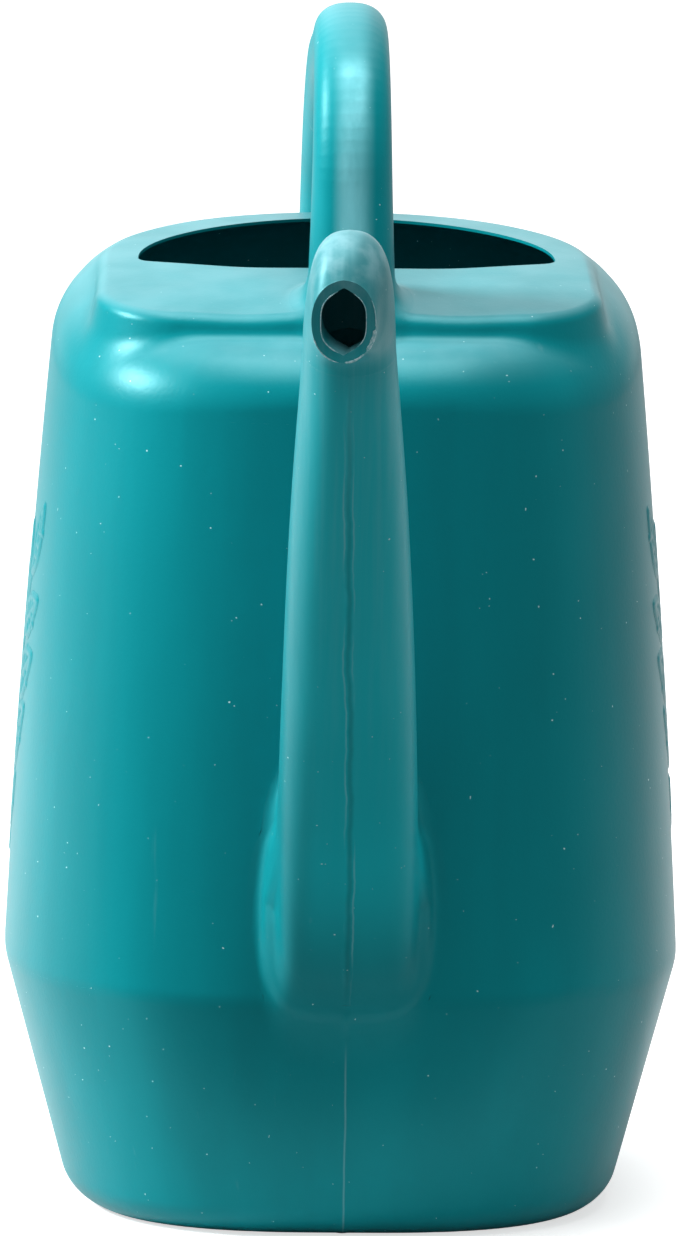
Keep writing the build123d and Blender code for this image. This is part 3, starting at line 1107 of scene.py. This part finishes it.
def spout_groove(g, tint):
    """The parting line down the spout: a shallow dark groove between two thin pale edges."""
    offset = g.line_offset(45, 4, 0.0042, g.span(g.axis("Z"), 0.10, 0.29, 0.0, 0.0033))
    ends = g.product(g.span(g.axis("Z"), 0.070, 0.090), g.span(g.axis("Z"), 0.292, 0.225))
    broken = g.span(g.noise(110, 4, g.stretched(2.5, 0.2, 0.25)), 0.44, 0.60)
    dark = g.product(g.span(offset, 0.0013, 0.0001, 0.0, 0.42), ends)
    edges = g.product(g.span(offset, 0.0010, 0.0013), g.span(offset, 0.0018, 0.0014))
    pale = g.product(edges, broken, ends, 0.30)
    return g.blend("MIX", pale, g.blend("MIX", dark, tint, shade(0.62)), CHALK_AND_SHEEN)


def foot_line(g, tint):
    """The parting line on the foot: one thin pale thread."""
    ends = g.product(g.span(g.axis("Z"), 0.064, 0.052), g.span(g.axis("Y"), -0.02, -0.05))
    thread = g.span(g.line_offset(40, 3, 0.0012), 0.0004, 0.0001, 0.0, 0.26)
    return g.blend("MIX", g.product(thread, ends), tint, CHALK_AND_SHEEN)


body_plastic = plastic("body_plastic", 0.33, foot_line)
# painted light: parts of the spout and handle are given a lighter colour, and the handle a painted reflection
spout_plastic = plastic("spout_plastic", 0.40, spout_groove, painted_light_on_spout, 2.0, nose_frost)
handle_plastic = plastic("handle_plastic", 0.40, foot_line, painted_light_on_handle, 1.25, painted_reflection_on_handle, HANDLE_REFLECTION_TINT)
burr_plastic = bpy.data.materials.new("burr_plastic")
g = Graph(burr_plastic)
g.shader.inputs["Roughness"].default_value = 0.55
g.links.new(g.blend("MIX", g.span(g.noise(900, 3), 0.35, 0.65), (0.55, 0.80, 0.84, 1), (0.20, 0.55, 0.60, 1)),
            g.shader.inputs["Base Color"])
for material, pieces in (
    (body_plastic, (base, wall, shoulder, collar, *sprigs)),
    (spout_plastic, (spout, nose)),
    (handle_plastic, (leg, grip, rear)),
    (burr_plastic, burrs),
):
    for piece in pieces:
        piece.data.materials.append(material)


# ---------------------------------------------------------------- floor, light, camera
bpy.ops.mesh.primitive_plane_add(size=1, location=(0, 2.86, 0))
floor = bpy.context.object
floor.scale = (8, 6, 1)
floor.name = "floor"
paper = bpy.data.materials.new("paper")
g = Graph(paper)
g.shader.inputs["Base Color"].default_value = (0.68, 0.68, 0.68, 1)
g.shader.inputs["Roughness"].default_value = 0.9
g.shader.inputs["Specular IOR Level"].default_value = 0.05
g.shader.inputs["Emission Color"].default_value = (1, 1, 1, 1)
seen_first = g.nodes.new("ShaderNodeLightPath").outputs["Is Camera Ray"]
g.links.new(g.math("MULTIPLY", seen_first, 0.65), g.shader.inputs["Emission Strength"])
floor.data.materials.append(paper)

world = bpy.data.worlds.new("studio")
bpy.context.scene.world = world
world.use_nodes = True
sky, sky_links = world.node_tree.nodes, world.node_tree.links
way = sky.new("ShaderNodeTexCoord")
parts = sky.new("ShaderNodeSeparateXYZ")
sky_links.new(way.outputs["Generated"], parts.inputs["Vector"])
behind = sky.new("ShaderNodeMapRange")
behind.interpolation_type = "SMOOTHSTEP"
for socket, value in (("From Min", 0.70), ("From Max", 0.94), ("To Min", 0.30), ("To Max", 1.0)):
    behind.inputs[socket].default_value = value
sky_links.new(parts.outputs["Y"], behind.inputs["Value"])
path = sky.new("ShaderNodeLightPath")
seen = sky.new("ShaderNodeMix")
seen.inputs["B"].default_value = 1.0
sky_links.new(path.outputs["Is Camera Ray"], seen.inputs["Factor"])
sky_links.new(behind.outputs["Result"], seen.inputs["A"])
sky["Background"].inputs["Color"].default_value = (1, 1, 1, 1)
sky_links.new(seen.outputs["Result"], sky["Background"].inputs["Strength"])


def softbox(name, place, aim, width, height, power):
    light = bpy.data.lights.new(name, "AREA")
    light.shape = "RECTANGLE"
    light.size = width
    light.size_y = height
    light.energy = power
    lamp = bpy.data.objects.new(name, light)
    lamp.location = place
    lamp.rotation_euler = (Vector(aim) - Vector(place)).to_track_quat("-Z", "Y").to_euler()
    bpy.context.scene.collection.objects.link(lamp)


softbox("key", (-1.86, 0.0, 1.37), (0, 0, 0.2), 0.7, 0.5, 74)
softbox("top", (0, -0.4, 4.0), (0, 0, 0.2), 2.6, 2.6, 128)

ELEVATION = math.radians(8.8)
AZIMUTH = math.radians(1.2)
DISTANCE = 5.0
centre = Vector((0, 0, 0.185))
eye = centre + DISTANCE * Vector((
    -math.sin(AZIMUTH) * math.cos(ELEVATION), -math.cos(AZIMUTH) * math.cos(ELEVATION), math.sin(ELEVATION)
))
aim = centre + Vector((-0.0011, 0, -0.0100))
camera_data = bpy.data.cameras.new("camera")
camera_data.sensor_width = 36
camera_data.lens = 480.5
camera_data.clip_end = 50
camera = bpy.data.objects.new("camera", camera_data)
bpy.context.scene.collection.objects.link(camera)
turn = (aim - eye).to_track_quat("-Z", "Y").to_matrix().to_4x4()
roll = math.radians(0.557)
camera.matrix_world = Matrix.Translation(eye) @ turn @ Matrix.Rotation(roll, 4, "Z")
bpy.context.scene.camera = camera
bpy.context.scene.view_settings.view_transform = "Standard"
